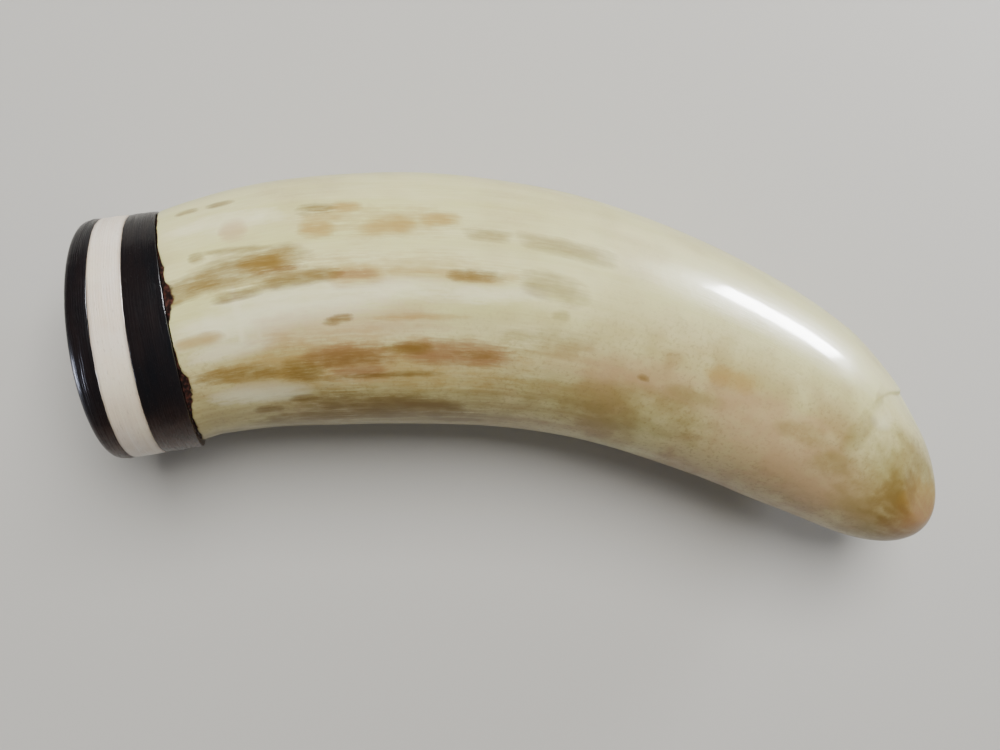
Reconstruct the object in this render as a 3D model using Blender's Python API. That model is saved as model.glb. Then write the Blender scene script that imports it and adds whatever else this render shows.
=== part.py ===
"""A whale tooth lying on its flank, its root capped by a glued stack of dark and pale discs.

The origin is on the surface that the object lies on, under the middle of its bounding box.
+X runs from the base to the tip and +Z points up. Lengths are metres, angles are degrees.
"""

import math
from dataclasses import dataclass

import bmesh
import bpy
import numpy as np
from mathutils import Vector

# Tooth
TOOTH_LENGTH = 0.1523
BELLY_WIDTH = 0.0446
BELLY_DEPTH = 0.0410
FLAT_DEPTH = 0.0003
TIP_RISE = 0.0050
TIP_FACET_DEPTH = 0.0009
TIP_FACET_HEADING = -15.0
TIP_FACET_PITCH = 58.0

# Base discs, measured on their common axis
BASE_WIDTH = 0.0414
BASE_HEIGHT = 0.0396
INNER_DISC_THICKNESS = 0.0051
PALE_DISC_THICKNESS = 0.0047
OUTER_DISC_THICKNESS = 0.0024
RIM_RADIUS = 0.0013
MOST_RIM = 0.9
ROOT_SHOULDER = 0.0010
ROOT_OFFSET = 0.0003

# Fits
GLUE_GAP = 0.0003

# Directions
ROOT_HEADING = 18.7
BASE_HEADING = 8.4

# Fineness
RING_SIDES = 48
TOOTH_RINGS = 46
DISC_SIDES = 72
RIM_STEPS = 5
SHARP_ANGLE = 35.0

# Form of the tooth along its middle line, by share of the length from base to tip
TURN = ((0.0, 0.0), (0.14, -12.7), (0.32, -22.2), (0.52, -35.6), (0.72, -46.8), (0.88, -61.3), (1.0, -57.2))
WIDTH = ((0.12, 0.961), (0.30, 1.0), (0.50, 0.956), (0.70, 0.885), (0.86, 0.783), (1.0, 0.729))
DEPTH = ((0.12, 0.98), (0.30, 1.0), (0.50, 0.985), (0.70, 0.95), (0.86, 0.87), (1.0, 0.80))
FLAT_START = 0.20
FLAT_END = 0.62
TIP_START = 0.758
TIP_BLUNTNESS = 1.8


@dataclass(frozen=True)
class Seam:
    """A flat face across the base's axis.

    Attributes:
        skew: turn about the vertical, positive where the left side lies nearer the tip.
        lean: tilt from the vertical, positive where the top lies nearer the tip.
    """

    skew: float
    lean: float


TOOTH_SEAM = Seam(skew=-1.3, lean=2.3)
INNER_SEAM = Seam(skew=1.1, lean=-0.8)
OUTER_SEAM = Seam(skew=2.0, lean=-2.0)
END_SEAM = Seam(skew=1.8, lean=-5.2)


@dataclass(frozen=True)
class Finish:
    """A surface's plain colour (linear), roughness and metallic value."""

    name: str
    colour: tuple[float, float, float]
    roughness: float
    metallic: float = 0.0


IVORY = Finish("polished_ivory", (0.66, 0.50, 0.29), 0.22)
HORN = Finish("dark_horn", (0.016, 0.011, 0.009), 0.25)
BONE = Finish("pale_bone", (0.62, 0.45, 0.32), 0.35)


def smooth_through(points, shares):
    """A smooth curve through (share, value) points, each one's slope taken from its neighbours."""
    knots, values = np.array(points).T
    slopes = np.gradient(values, knots)
    first = np.clip(np.searchsorted(knots, shares, side="right") - 1, 0, len(knots) - 2)
    span = knots[first + 1] - knots[first]
    u = (shares - knots[first]) / span
    start = (2 * u**3 - 3 * u**2 + 1) * values[first] + (u**3 - 2 * u**2 + u) * span * slopes[first]
    end = (3 * u**2 - 2 * u**3) * values[first + 1] + (u**3 - u**2) * span * slopes[first + 1]
    return start + end


def tooth_form(shares):
    """The tooth's half width, half depth and heading at each share of its length."""
    root_width = BASE_WIDTH / 2 - ROOT_SHOULDER
    root_depth = BASE_HEIGHT / 2 - ROOT_SHOULDER
    widths = [(0.0, root_width)] + [(at, share * BELLY_WIDTH / 2) for at, share in WIDTH]
    depths = [(0.0, root_depth)] + [(at, share * BELLY_DEPTH / 2) for at, share in DEPTH]
    inside = np.clip(shares, 0.0, 1.0)
    closing = np.clip((inside - TIP_START) / (1.0 - TIP_START), 0.0, 1.0)
    cap = np.sqrt(1.0 - closing**TIP_BLUNTNESS)
    half_width = smooth_through(widths, inside)
    half_depth = smooth_through(depths, inside)
    heading = np.radians(ROOT_HEADING + smooth_through(TURN, inside))
    return half_width * cap, half_depth * cap, half_depth, heading


def ring_shares():
    """Shares of the length at which rings stand: even on the body, close together at the blunt tip."""
    body_rings = round(TOOTH_RINGS * 0.64)
    tip_rings = TOOTH_RINGS - body_rings
    overrun = -0.5 * BASE_WIDTH / TOOTH_LENGTH
    body = np.linspace(overrun, TIP_START, body_rings, endpoint=False)
    turn = np.linspace(0.0, math.pi / 2, tip_rings, endpoint=False)
    tip = TIP_START + (1.0 - TIP_START) * np.sin(turn) ** (2.0 / TIP_BLUNTNESS)
    return np.concatenate([body, tip])


def middle_line(shares):
    """Points of the tooth's bent middle line, from beside the base's axis at their seam."""
    fine = np.linspace(min(shares.min(), 0.0), 1.0, 1201)
    heading = tooth_form(fine)[3]
    steps = np.diff(fine)[:, None] * TOOTH_LENGTH
    ahead = np.stack([np.cos(heading), np.sin(heading)], axis=1)
    line = np.vstack([[0.0, 0.0], np.cumsum((ahead[1:] + ahead[:-1]) / 2 * steps, axis=0)])
    line -= [np.interp(0.0, fine, line[:, 0]), np.interp(0.0, fine, line[:, 1])]
    across = np.interp(shares, fine, line[:, 1]) + ROOT_OFFSET
    return np.stack([np.interp(shares, fine, line[:, 0]), across], axis=1)


def line_height(shares):
    """Height of the middle line: the flank lies on the surface, and the tip bends up off it."""
    full_depth = tooth_form(shares)[2]
    settled = full_depth - FLAT_DEPTH
    root = BASE_HEIGHT / 2 - FLAT_DEPTH
    past_root = np.clip(shares / FLAT_START, 0.0, 1.0)
    near = root + (settled - root) * past_root**2 * (3.0 - 2.0 * past_root)
    past_flat = np.clip((shares - FLAT_END) / (1.0 - FLAT_END), 0.0, 1.0)
    return near + TIP_RISE * past_flat**1.6


def base_point(along, side, up):
    """A point given along the base's axis from its seam with the tooth, to its left and above it."""
    heading = math.radians(BASE_HEADING)
    x = along * math.cos(heading) - side * math.sin(heading)
    y = along * math.sin(heading) + side * math.cos(heading)
    return x, y, BASE_HEIGHT / 2 - FLAT_DEPTH + up


def seam_offset(seam, side, up):
    """How far a seam's face lies toward the tip at this place across the base."""
    return math.tan(math.radians(seam.skew)) * side + math.tan(math.radians(seam.lean)) * up


def add_object(name, build, collection, finish=None):
    """A new mesh object made from a bmesh."""
    mesh = bpy.data.meshes.new(name)
    bmesh.ops.recalc_face_normals(build, faces=build.faces)
    build.to_mesh(mesh)
    build.free()
    made = bpy.data.objects.new(name, mesh)
    collection.objects.link(made)
    if finish is not None:
        mesh.materials.append(principled(finish))
        mesh.shade_smooth()
        mesh.set_sharp_from_angle(angle=math.radians(SHARP_ANGLE))
    return made


def principled(finish):
    """The material of a finish, made once."""
    material = bpy.data.materials.get(finish.name)
    if material is None:
        material = bpy.data.materials.new(finish.name)
        material.use_nodes = True
        shader = material.node_tree.nodes["Principled BSDF"]
        shader.inputs["Base Color"].default_value = (*finish.colour, 1.0)
        shader.inputs["Roughness"].default_value = finish.roughness
        shader.inputs["Metallic"].default_value = finish.metallic
        material.diffuse_color = (*finish.colour, 1.0)
    return material


def cut(target, cutter):
    """Takes the cutter's solid off the target."""
    boolean = target.modifiers.new(cutter.name, "BOOLEAN")
    boolean.operation = "DIFFERENCE"
    boolean.object = cutter


def block(name, low, high, collection):
    """A box cutter between two corners."""
    build = bmesh.new()
    bmesh.ops.create_cube(build, size=1.0)
    for vertex in build.verts:
        for axis in range(3):
            vertex.co[axis] = high[axis] if vertex.co[axis] > 0.0 else low[axis]
    cutter = add_object(name, build, collection)
    cutter.hide_render = True
    cutter.display_type = "WIRE"
    return cutter


def seam_cutter(collection):
    """A slab on the base's side of the tooth's seam, half the glue gap clear of it."""
    reach = BASE_WIDTH
    cutter = block("tooth_seam_cutter", (-reach, -reach, -reach), (0.0, reach, reach), collection)
    for vertex in cutter.data.vertices:
        side, up = vertex.co.y, vertex.co.z
        face = GLUE_GAP / 2 + seam_offset(TOOTH_SEAM, side, up)
        along = face if vertex.co.x > -reach / 2 else -reach
        vertex.co = base_point(along, side, up)
    return cutter


def tip_cutter(tooth, collection):
    """A slab above the worn facet, a fixed depth under the tooth's farthest point in that direction."""
    pitch = math.radians(TIP_FACET_PITCH)
    heading = math.radians(TIP_FACET_HEADING)
    toward = Vector((math.cos(heading) * math.cos(pitch), math.sin(heading) * math.cos(pitch), math.sin(pitch)))
    line = middle_line(np.array([TIP_START]))[0]
    beyond = [vertex.co for vertex in tooth.data.vertices if vertex.co.x > line[0]]
    farthest = max(beyond, key=toward.dot)
    centre = farthest - toward * TIP_FACET_DEPTH
    reach = BELLY_WIDTH
    cutter = block("tip_facet_cutter", (-reach, -reach, 0.0), (reach, reach, reach), collection)
    turn = toward.to_track_quat("Z", "Y").to_matrix()
    for vertex in cutter.data.vertices:
        vertex.co = centre + turn @ vertex.co
    return cutter


def loft(build, rings):
    """A closed skin over rings that each hold as many points, its two ends filled."""
    rows = [[build.verts.new(point) for point in ring] for ring in rings]
    for row, beyond in zip(rows, rows[1:]):
        for side, vertex in enumerate(row):
            after = (side + 1) % len(row)
            build.faces.new((vertex, beyond[side], beyond[after], row[after]))
    build.faces.new(rows[0])
    build.faces.new(rows[-1])


def build_tooth(collection):
    """The tooth: oval sections lofted along the bent middle line to the blunt tip."""
    shares = ring_shares()
    half_width, half_depth, _, heading = tooth_form(shares)
    turn = np.linspace(0.0, 2.0 * math.pi, RING_SIDES, endpoint=False)
    out = half_width[:, None] * np.cos(turn)
    up = half_depth[:, None] * np.sin(turn)
    line = middle_line(shares)
    x = line[:, :1] - out * np.sin(heading)[:, None]
    y = line[:, 1:] + out * np.cos(heading)[:, None]
    z = line_height(shares)[:, None] + up
    build = bmesh.new()
    loft(build, np.stack([x, y, z], axis=2))
    return add_object("tooth", build, collection, IVORY)


def build_disc(name, finish, faces, collection, rim=0.0):
    """One disc of the base.

    faces holds its back and its front, each as (distance along the axis, seam), and rim is the
    radius that its back edge is rounded to.
    """
    (back, back_seam), (front, front_seam) = faces
    turn = np.linspace(0.0, 2.0 * math.pi, DISC_SIDES, endpoint=False)
    side, up = BASE_WIDTH / 2 * np.cos(turn), BASE_HEIGHT / 2 * np.sin(turn)
    thinnest = (front - back + seam_offset(front_seam, side, up) - seam_offset(back_seam, side, up)).min()
    rim = min(rim, MOST_RIM * thinnest)
    bend = np.linspace(0.0, math.pi / 2, RIM_STEPS + 1) if rim else np.array([0.0])
    rings = [(back + rim * (1.0 - math.cos(step)), back_seam, rim * (1.0 - math.sin(step))) for step in bend]
    rings.append((front, front_seam, 0.0))
    build = bmesh.new()
    points = []
    for along, seam, inset in rings:
        side = (BASE_WIDTH / 2 - inset) * np.cos(turn)
        up = (BASE_HEIGHT / 2 - inset) * np.sin(turn)
        points.append([base_point(along + seam_offset(seam, s, u), s, u) for s, u in zip(side, up)])
    loft(build, points)
    return add_object(name, build, collection, finish)


def build_base(collection):
    """The three discs of the base, from the one at the tooth to the end one."""
    tooth_face = -GLUE_GAP / 2
    inner_back = -INNER_DISC_THICKNESS
    pale_front = inner_back - GLUE_GAP
    pale_back = pale_front - PALE_DISC_THICKNESS
    outer_front = pale_back - GLUE_GAP
    outer_back = outer_front - OUTER_DISC_THICKNESS
    inner = build_disc("inner_dark_disc", HORN, ((inner_back, INNER_SEAM), (tooth_face, TOOTH_SEAM)), collection)
    pale = build_disc("pale_disc", BONE, ((pale_back, OUTER_SEAM), (pale_front, INNER_SEAM)), collection)
    outer = build_disc("outer_dark_disc", HORN, ((outer_back, END_SEAM), (outer_front, OUTER_SEAM)),
                       collection, RIM_RADIUS)
    return [inner, pale, outer]


def set_origin(pieces, collection):
    """Hangs everything on an empty, moved so that the pieces' box is centred over the origin."""
    bpy.context.view_layer.update()
    graph = bpy.context.evaluated_depsgraph_get()
    corners = [piece.evaluated_get(graph).matrix_world @ Vector(corner)
               for piece in pieces for corner in piece.evaluated_get(graph).bound_box]
    low = [min(corner[axis] for corner in corners) for axis in range(3)]
    high = [max(corner[axis] for corner in corners) for axis in range(3)]
    root = bpy.data.objects.new("whale_tooth_origin", None)
    collection.objects.link(root)
    for thing in bpy.data.objects:
        if thing is not root:
            thing.parent = root
    root.location = (-(low[0] + high[0]) / 2, -(low[1] + high[1]) / 2, -low[2])
    bpy.context.view_layer.update()


def main():
    for thing in list(bpy.data.objects):
        bpy.data.objects.remove(thing)
    scene = bpy.context.scene
    scene.unit_settings.system = "METRIC"
    pieces_collection = bpy.data.collections.new("whale_tooth")
    cutters_collection = bpy.data.collections.new("cutters")
    scene.collection.children.link(pieces_collection)
    scene.collection.children.link(cutters_collection)

    tooth = build_tooth(pieces_collection)
    discs = build_base(pieces_collection)
    cut(tooth, seam_cutter(cutters_collection))
    cut(tooth, tip_cutter(tooth, cutters_collection))
    reach = 2.0 * TOOTH_LENGTH
    surface = block("surface_cutter", (-reach, -reach, -BELLY_DEPTH), (reach, reach, 0.0), cutters_collection)
    for piece in [tooth, *discs]:
        cut(piece, surface)
    set_origin([tooth, *discs], pieces_collection)


main()
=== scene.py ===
"""A polished whale tooth lying on its flank, with a glued base of horn and bone discs.

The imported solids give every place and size. Each one is replaced by a finer skin of the same form,
worked out as whole arrays of points in metres, and given its own procedural finish.
"""

import logging
import math
from collections.abc import Sequence
from dataclasses import dataclass, field
from enum import Enum

import bpy
import numpy as np
from mathutils import Matrix, Vector


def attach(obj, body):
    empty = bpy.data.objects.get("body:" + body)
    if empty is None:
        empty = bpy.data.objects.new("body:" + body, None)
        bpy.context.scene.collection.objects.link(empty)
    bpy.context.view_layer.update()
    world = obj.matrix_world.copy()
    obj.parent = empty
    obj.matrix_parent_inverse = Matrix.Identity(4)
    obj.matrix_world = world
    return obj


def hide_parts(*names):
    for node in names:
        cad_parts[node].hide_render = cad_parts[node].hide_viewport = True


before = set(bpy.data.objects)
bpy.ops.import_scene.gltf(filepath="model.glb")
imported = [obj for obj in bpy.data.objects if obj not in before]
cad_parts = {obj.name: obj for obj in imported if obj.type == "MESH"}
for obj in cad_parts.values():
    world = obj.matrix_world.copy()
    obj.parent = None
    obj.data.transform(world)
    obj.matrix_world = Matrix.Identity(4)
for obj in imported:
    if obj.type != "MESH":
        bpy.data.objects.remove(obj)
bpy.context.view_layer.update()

LOG = logging.getLogger("whale_tooth")

Colour = tuple[float, float, float]
Place = tuple[float, float, float]
Curve = tuple[tuple[float, float], ...]
Socket = bpy.types.NodeSocket
Source = Socket | float | Colour

# The base's axis: its foot at the seam with the tooth, its height, and its heading toward the tip.
AXIS_FOOT = (-0.062887, 0.006531)
AXIS_HEIGHT = 0.0195
BASE_HEADING = math.radians(8.4)

MILLIMETRES = 1000.0
SHARP_FOLD = math.radians(40.0)
STAIN_SPREAD = 0.66
STAIN_FALL = 1.15


class Tone(Enum):
    """Kinds of stain on the tooth, each an attribute of its mesh; one brown mark is painted shade."""

    BROWN = "stain_brown"
    ORANGE = "stain_orange"
    RUSSET = "stain_russet"
    OLIVE = "stain_olive"
    PINK = "stain_pink"
    PALE = "stain_pale"


def smooth_through(points: Sequence[tuple[float, float]], shares: np.ndarray) -> np.ndarray:
    """Reads a smooth curve through points, each one's slope being that of its neighbours.

    Between two points the value is the cubic that has both values and both slopes.

    Args:
        points: (share, value) pairs in order.
        shares: where to read the curve.

    Returns:
        The values, in the shape of shares.
    """
    knots, values = np.array(points).T
    slopes = np.gradient(values, knots)
    first = np.clip(np.searchsorted(knots, shares, side="right") - 1, 0, len(knots) - 2)
    span = knots[first + 1] - knots[first]
    u = (shares - knots[first]) / span
    start = (2 * u**3 - 3 * u**2 + 1) * values[first] + (u**3 - 2 * u**2 + u) * span * slopes[first]
    end = (3 * u**2 - 2 * u**3) * values[first + 1] + (u**3 - u**2) * span * slopes[first + 1]
    return start + end


def ease(value: np.ndarray, low: float, high: float) -> np.ndarray:
    """Rises from 0 at low to 1 at high along the curve 3u² − 2u³."""
    u = np.clip((value - low) / (high - low), 0.0, 1.0)
    return u * u * (3.0 - 2.0 * u)


@dataclass(frozen=True)
class Spots:
    """Where points lie on a piece.

    Attributes:
        shares: share of the length at each point.
        turns: angle round at each point, in radians.
    """

    shares: np.ndarray
    turns: np.ndarray

    @property
    def degrees(self) -> np.ndarray:
        """The angles round in degrees."""
        return np.degrees(self.turns)

    def cloud(self, along: int, around: int, seed: int) -> np.ndarray:
        """Smooth seeded noise: a lattice of random values joined by eased steps, closed round the piece.

        Args:
            along: lattice cells from share 0 to share 1.
            around: lattice cells round.
            seed: which noise.

        Returns:
            Values from -1 to 1.
        """
        lattice = np.random.default_rng(seed).uniform(-1.0, 1.0, (along + 2, around))
        x = np.clip(self.shares, 0.0, 1.0) * along
        y = (self.turns / (2.0 * math.pi)) % 1.0 * around
        i = np.floor(x).astype(int)
        j = np.floor(y).astype(int) % around
        u = ease(x - i, 0.0, 1.0)
        v = ease(y - np.floor(y), 0.0, 1.0)
        after = (j + 1) % around
        near = lattice[i, j] * (1.0 - v) + lattice[i, after] * v
        far = lattice[i + 1, j] * (1.0 - v) + lattice[i + 1, after] * v
        return near * (1.0 - u) + far * u


@dataclass(frozen=True)
class Stain:
    """A soft-edged mark drawn out along the tooth.

    Attributes:
        start: share of the tooth's length where it begins.
        end: share of the length where it ends.
        turn: degrees round the tooth, 90 on the crest and 0 on the convex back.
        width: full width across the grain, in millimetres.
        strength: how fully its tone covers the ivory.
        slant: degrees that it moves round from its start to its end.
    """

    start: float
    end: float
    turn: float
    width: float
    strength: float
    slant: float = 0.0

    def cover(self, spots: Spots, radius: np.ndarray, warp: np.ndarray) -> np.ndarray:
        """How strongly the stain covers each point: strength times exp(−STAIN_FALL d).

        d is |a|³ + b² + warp, never under 0. a runs from −1 to 1 over the stain's length, and b is
        the distance across the grain, 1 where that is STAIN_SPREAD of the width.

        Args:
            spots: where the points lie.
            radius: mean radius there, in millimetres.
            warp: noise that frays the outline.

        Returns:
            The cover at each point.
        """
        middle = (self.start + self.end) / 2
        along = (spots.shares - middle) / ((self.end - self.start) / 2)
        lane = self.turn + self.slant * (along + 1.0) / 2
        off = (spots.degrees - lane + 180.0) % 360.0 - 180.0
        across = np.radians(off) * radius / (self.width * STAIN_SPREAD)
        far = np.abs(along) ** 3 + across**2 + warp
        return self.strength * np.exp(-STAIN_FALL * np.maximum(far, 0.0))


STAINS: dict[Tone, tuple[Stain, ...]] = {
    Tone.BROWN: (
        Stain(0.000, 0.090, 76.5, 2.4, 1.00, -2.0),
        Stain(0.000, 0.120, 118.0, 2.4, 0.58, 3.0),
        Stain(0.006, 0.030, 78.5, 2.0, 0.70),
        Stain(0.012, 0.084, 79.0, 0.7, 1.20, -2.5),
        Stain(0.020, 0.260, -15.0, 2.0, 0.60, 3.0),
        Stain(0.036, 0.056, 31.0, 1.2, 0.75),
        Stain(0.040, 0.148, 74.0, 3.2, 1.20, -1.5),
        Stain(0.040, 0.056, 63.5, 1.3, 0.60),
        Stain(0.040, 0.180, 205.0, 2.2, 0.65, 3.0),
        Stain(0.052, 0.150, 71.0, 0.8, 1.30, -1.0),
        Stain(0.052, 0.130, 62.0, 0.8, 0.50, 5.0),
        Stain(0.056, 0.108, 85.0, 1.0, 1.00, -1.0),
        Stain(0.060, 0.300, -48.0, 1.7, 0.75, 3.0),
        Stain(0.065, 0.088, 32.0, 1.2, 0.95),
        Stain(0.066, 0.100, 144.0, 1.2, 1.40),
        Stain(0.080, 0.330, 154.0, 2.6, 1.05, -2.0),
        Stain(0.104, 0.178, 82.5, 1.6, 1.30, -2.0),
        Stain(0.110, 0.157, 121.5, 2.8, 0.95, 1.0),
        Stain(0.116, 0.152, 138.5, 1.1, 1.60),
        Stain(0.120, 0.330, 222.0, 1.8, 0.75, -3.0),
        Stain(0.130, 0.176, 80.8, 0.6, 1.30, -1.0),
        Stain(0.130, 0.240, 117.5, 2.4, 0.50, -1.5),
        Stain(0.136, 0.316, 143.0, 4.2, 1.00, 2.0),
        Stain(0.145, 0.182, 48.5, 1.7, 0.85),
        Stain(0.152, 0.290, 126.5, 0.7, 0.90, -2.0),
        Stain(0.156, 0.200, 145.0, 1.1, 1.90, -1.0),
        Stain(0.164, 0.193, 100.5, 0.8, 1.25, -2.0),
        Stain(0.190, 0.234, 148.5, 1.0, 2.20, 1.0),
        Stain(0.200, 0.264, 139.5, 1.2, 1.70, 2.0),
        Stain(0.226, 0.280, 112.5, 1.3, 1.00),
        Stain(0.250, 0.320, 143.5, 1.6, 1.90, 2.0),
        Stain(0.290, 0.366, 160.0, 1.8, 0.60),
        Stain(0.298, 0.352, 81.5, 1.3, 1.15, -1.0),
        Stain(0.300, 0.360, 114.5, 1.4, 0.45),
        Stain(0.526, 0.540, 111.5, 0.7, 0.85),
        Stain(0.878, 0.946, 100.0, 9.0, 0.62),
        # Painted shade: this brown mark darkens the tip's underside, the side turned from the light.
        Stain(0.930, 1.060, 148.0, 8.0, 0.50),
    ),
    Tone.ORANGE: (
        Stain(0.000, 0.380, 77.0, 5.5, 0.26, 2.0),
        Stain(0.003, 0.054, 100.0, 1.3, 0.85),
        Stain(0.005, 0.400, 118.0, 7.5, 0.52, 2.0),
        Stain(0.085, 0.138, 73.0, 2.2, 1.20, -1.0),
        Stain(0.098, 0.140, 122.5, 3.2, 0.95),
        Stain(0.135, 0.320, 56.0, 7.0, 0.26, 2.0),
        Stain(0.148, 0.204, 53.0, 2.4, 0.55),
        Stain(0.148, 0.180, 59.5, 2.2, 1.35),
        Stain(0.172, 0.228, 81.5, 2.5, 1.25, -0.5),
        Stain(0.179, 0.208, 48.5, 1.7, 1.20),
        Stain(0.200, 0.330, 100.0, 0.9, 0.40, -2.0),
        Stain(0.206, 0.262, 61.5, 2.8, 1.35, -4.0),
        Stain(0.218, 0.310, 80.5, 1.1, 0.60),
        Stain(0.266, 0.304, 56.5, 1.8, 1.35, -2.0),
        Stain(0.285, 0.356, 81.0, 1.6, 0.75, 1.5),
        Stain(0.345, 0.370, 80.5, 1.2, 0.45),
        Stain(0.596, 0.672, 98.5, 3.0, 0.46, -3.0),
        Stain(0.910, 0.938, 95.0, 2.4, 1.00),
        Stain(0.915, 1.040, 84.0, 8.0, 1.00, 8.0),
    ),
    Tone.RUSSET: (
        Stain(0.096, 0.150, 77.0, 0.6, 1.00, -1.0),
        Stain(0.142, 0.240, 115.5, 2.6, 1.20, -0.5),
        Stain(0.170, 0.226, 123.0, 1.8, 0.95),
        Stain(0.176, 0.222, 81.0, 1.3, 0.55),
        Stain(0.236, 0.262, 111.5, 0.8, 1.50),
        Stain(0.254, 0.366, 114.0, 2.6, 1.90, 0.5),
        Stain(0.932, 1.060, 110.0, 8.5, 1.40, -4.0),
    ),
    Tone.OLIVE: (
        Stain(-0.01, 0.130, 166.0, 3.4, 0.75, 8.0),
        Stain(0.050, 0.380, 159.0, 6.0, 0.95, -2.0),
        Stain(0.100, 0.420, 142.0, 6.0, 0.58, 1.0),
        Stain(0.300, 0.520, -40.0, 4.0, 0.45, 5.0),
        Stain(0.308, 0.360, 62.0, 1.9, 0.55),
        Stain(0.330, 0.520, 129.0, 6.5, 0.30),
        Stain(0.350, 0.480, 108.0, 4.6, 0.34, -2.0),
        Stain(0.360, 0.660, 140.0, 7.0, 0.44, -6.0),
        Stain(0.366, 0.466, 62.0, 2.2, 0.75, 2.5),
        Stain(0.372, 0.444, 81.0, 3.4, 0.68, 2.0),
        Stain(0.408, 0.430, 93.5, 1.4, 0.60),
        Stain(0.414, 0.470, 62.5, 2.4, 0.60),
        Stain(0.462, 0.518, 126.0, 4.0, 0.30, 4.0),
        Stain(0.480, 0.660, 126.0, 6.0, 0.38, -3.0),
        Stain(0.560, 0.640, 112.0, 2.6, 0.45),
        Stain(0.580, 0.622, 127.5, 1.8, 0.65),
        Stain(0.700, 0.790, 108.0, 3.4, 0.42, -3.0),
        Stain(0.770, 0.850, 116.0, 4.6, 0.62, -12.0),
        Stain(0.790, 0.824, 92.0, 11.0, 0.46, -3.0),
        Stain(0.800, 0.818, 66.0, 6.0, 0.40, -3.0),
        Stain(0.830, 0.980, 98.0, 14.0, 0.95, 4.0),
        Stain(0.838, 0.930, 70.0, 5.0, 0.55, -14.0),
        Stain(0.880, 0.930, 108.0, 6.0, 0.62, 4.0),
        Stain(0.890, 1.080, 90.0, 26.0, 1.25),
    ),
    Tone.PINK: (
        Stain(0.074, 0.098, 53.0, 3.4, 0.65),
        Stain(0.080, 0.300, 104.0, 5.0, 0.55, -3.0),
        Stain(0.160, 0.236, 124.0, 3.0, 0.80),
        Stain(0.380, 0.640, 112.0, 5.0, 0.42, -4.0),
        Stain(0.600, 0.800, 112.0, 8.0, 0.55, -2.0),
        Stain(0.640, 0.930, 123.0, 10.0, 0.65, -3.0),
    ),
    Tone.PALE: (
        Stain(0.010, 0.230, 98.0, 3.6, 0.80, -6.0),
        Stain(0.010, 0.110, 109.0, 2.4, 0.60, -3.0),
        Stain(0.020, 0.140, 131.0, 3.4, 0.60, 2.0),
        Stain(0.030, 0.140, 45.0, 3.0, 0.50, 4.0),
        Stain(0.060, 0.300, 88.0, 2.6, 0.65, -1.0),
        Stain(0.070, 0.080, 99.0, 6.5, 0.90, -6.0),
        Stain(0.088, 0.099, 104.0, 5.0, 0.45, -5.0),
        Stain(0.260, 0.420, 90.0, 2.6, 0.35, -4.0),
        Stain(0.804, 0.842, 72.0, 4.2, 0.50, -6.0),
    ),
}


def bell(value: np.ndarray, middle: float, reach: float) -> np.ndarray:
    """A soft hump round the middle: exp(−((value − middle) / reach)²)."""
    return np.exp(-(((value - middle) / reach) ** 2))


def angles_round(sides: int) -> np.ndarray:
    """So many angles once round a piece, in radians, from straight below."""
    return np.radians(np.linspace(-90.0, 270.0, sides, endpoint=False))


def oval_bar(along: np.ndarray, half_width: np.ndarray, half_depth: np.ndarray,
             turns: np.ndarray) -> np.ndarray:
    """Places on a straight bar along x: half width times cosine across it, half depth times sine up."""
    return np.stack([along, half_width * np.cos(turns), half_depth * np.sin(turns)], axis=-1)


def skin(name: str, points: np.ndarray, straight: np.ndarray, ends: np.ndarray,
         marks: dict[str, np.ndarray]) -> bpy.types.Object:
    """Makes a closed mesh from rings of points, its two ends drawn in to a point each.

    Args:
        name: the new piece's name.
        points: rings by sides by 3, going round so that the faces look outwards.
        straight: each point's place if the piece were straight along x, which the grain follows.
        ends: the two closing points.
        marks: values for each point, by attribute name.

    Returns:
        The new object, at the origin.
    """
    rings, sides = points.shape[:2]
    index = np.arange(rings * sides).reshape(rings, sides)
    after = np.roll(index, -1, axis=1)
    quads = np.stack([index[:-1], after[:-1], after[1:], index[1:]], axis=2).reshape(-1, 4)
    opening = np.stack([np.full(sides, rings * sides), after[0], index[0]], axis=1)
    closing = np.stack([np.full(sides, rings * sides + 1), index[-1], after[-1]], axis=1)
    mesh = bpy.data.meshes.new(name)
    corners = np.vstack([points.reshape(-1, 3), ends])
    mesh.from_pydata(corners.tolist(), [], quads.tolist() + opening.tolist() + closing.tolist())

    for mark, values in {"straight": straight, **marks}.items():
        vectors = values.ndim == 3
        attribute = mesh.attributes.new(mark, "FLOAT_VECTOR" if vectors else "FLOAT", "POINT")
        flat = values.reshape(rings * sides, -1)
        closed = np.vstack([flat, flat[:sides].mean(axis=0), flat[-sides:].mean(axis=0)]).astype(np.float32)
        attribute.data.foreach_set("vector" if vectors else "value", closed.ravel())
    mesh.shade_smooth()
    mesh.set_sharp_from_angle(angle=SHARP_FOLD)
    mesh.validate()
    piece = bpy.data.objects.new(name, mesh)
    bpy.context.scene.collection.objects.link(piece)
    return piece


def dress(piece: bpy.types.Object, material: bpy.types.Material, node: str) -> None:
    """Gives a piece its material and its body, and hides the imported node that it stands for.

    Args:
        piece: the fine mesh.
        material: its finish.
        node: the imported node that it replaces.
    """
    piece.data.materials.append(material)
    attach(piece, "root")
    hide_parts(node)
    LOG.info("%s: %d faces, stands for %s", piece.name, len(piece.data.polygons), node)


@dataclass(frozen=True)
class Seam:
    """A flat face across the base's axis.

    Attributes:
        skew: degrees about the vertical, positive where the left side lies nearer the tip.
        lean: degrees from the vertical, positive where the top lies nearer the tip.
    """

    skew: float
    lean: float

    def offset(self, side: np.ndarray, up: np.ndarray) -> np.ndarray:
        """How far the face lies toward the tip at each place across the base."""
        return math.tan(math.radians(self.skew)) * side + math.tan(math.radians(self.lean)) * up


TOOTH_SEAM = Seam(-1.3, 2.3)
INNER_SEAM = Seam(1.1, -0.8)
OUTER_SEAM = Seam(2.0, -2.0)
END_SEAM = Seam(1.8, -5.2)


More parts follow.
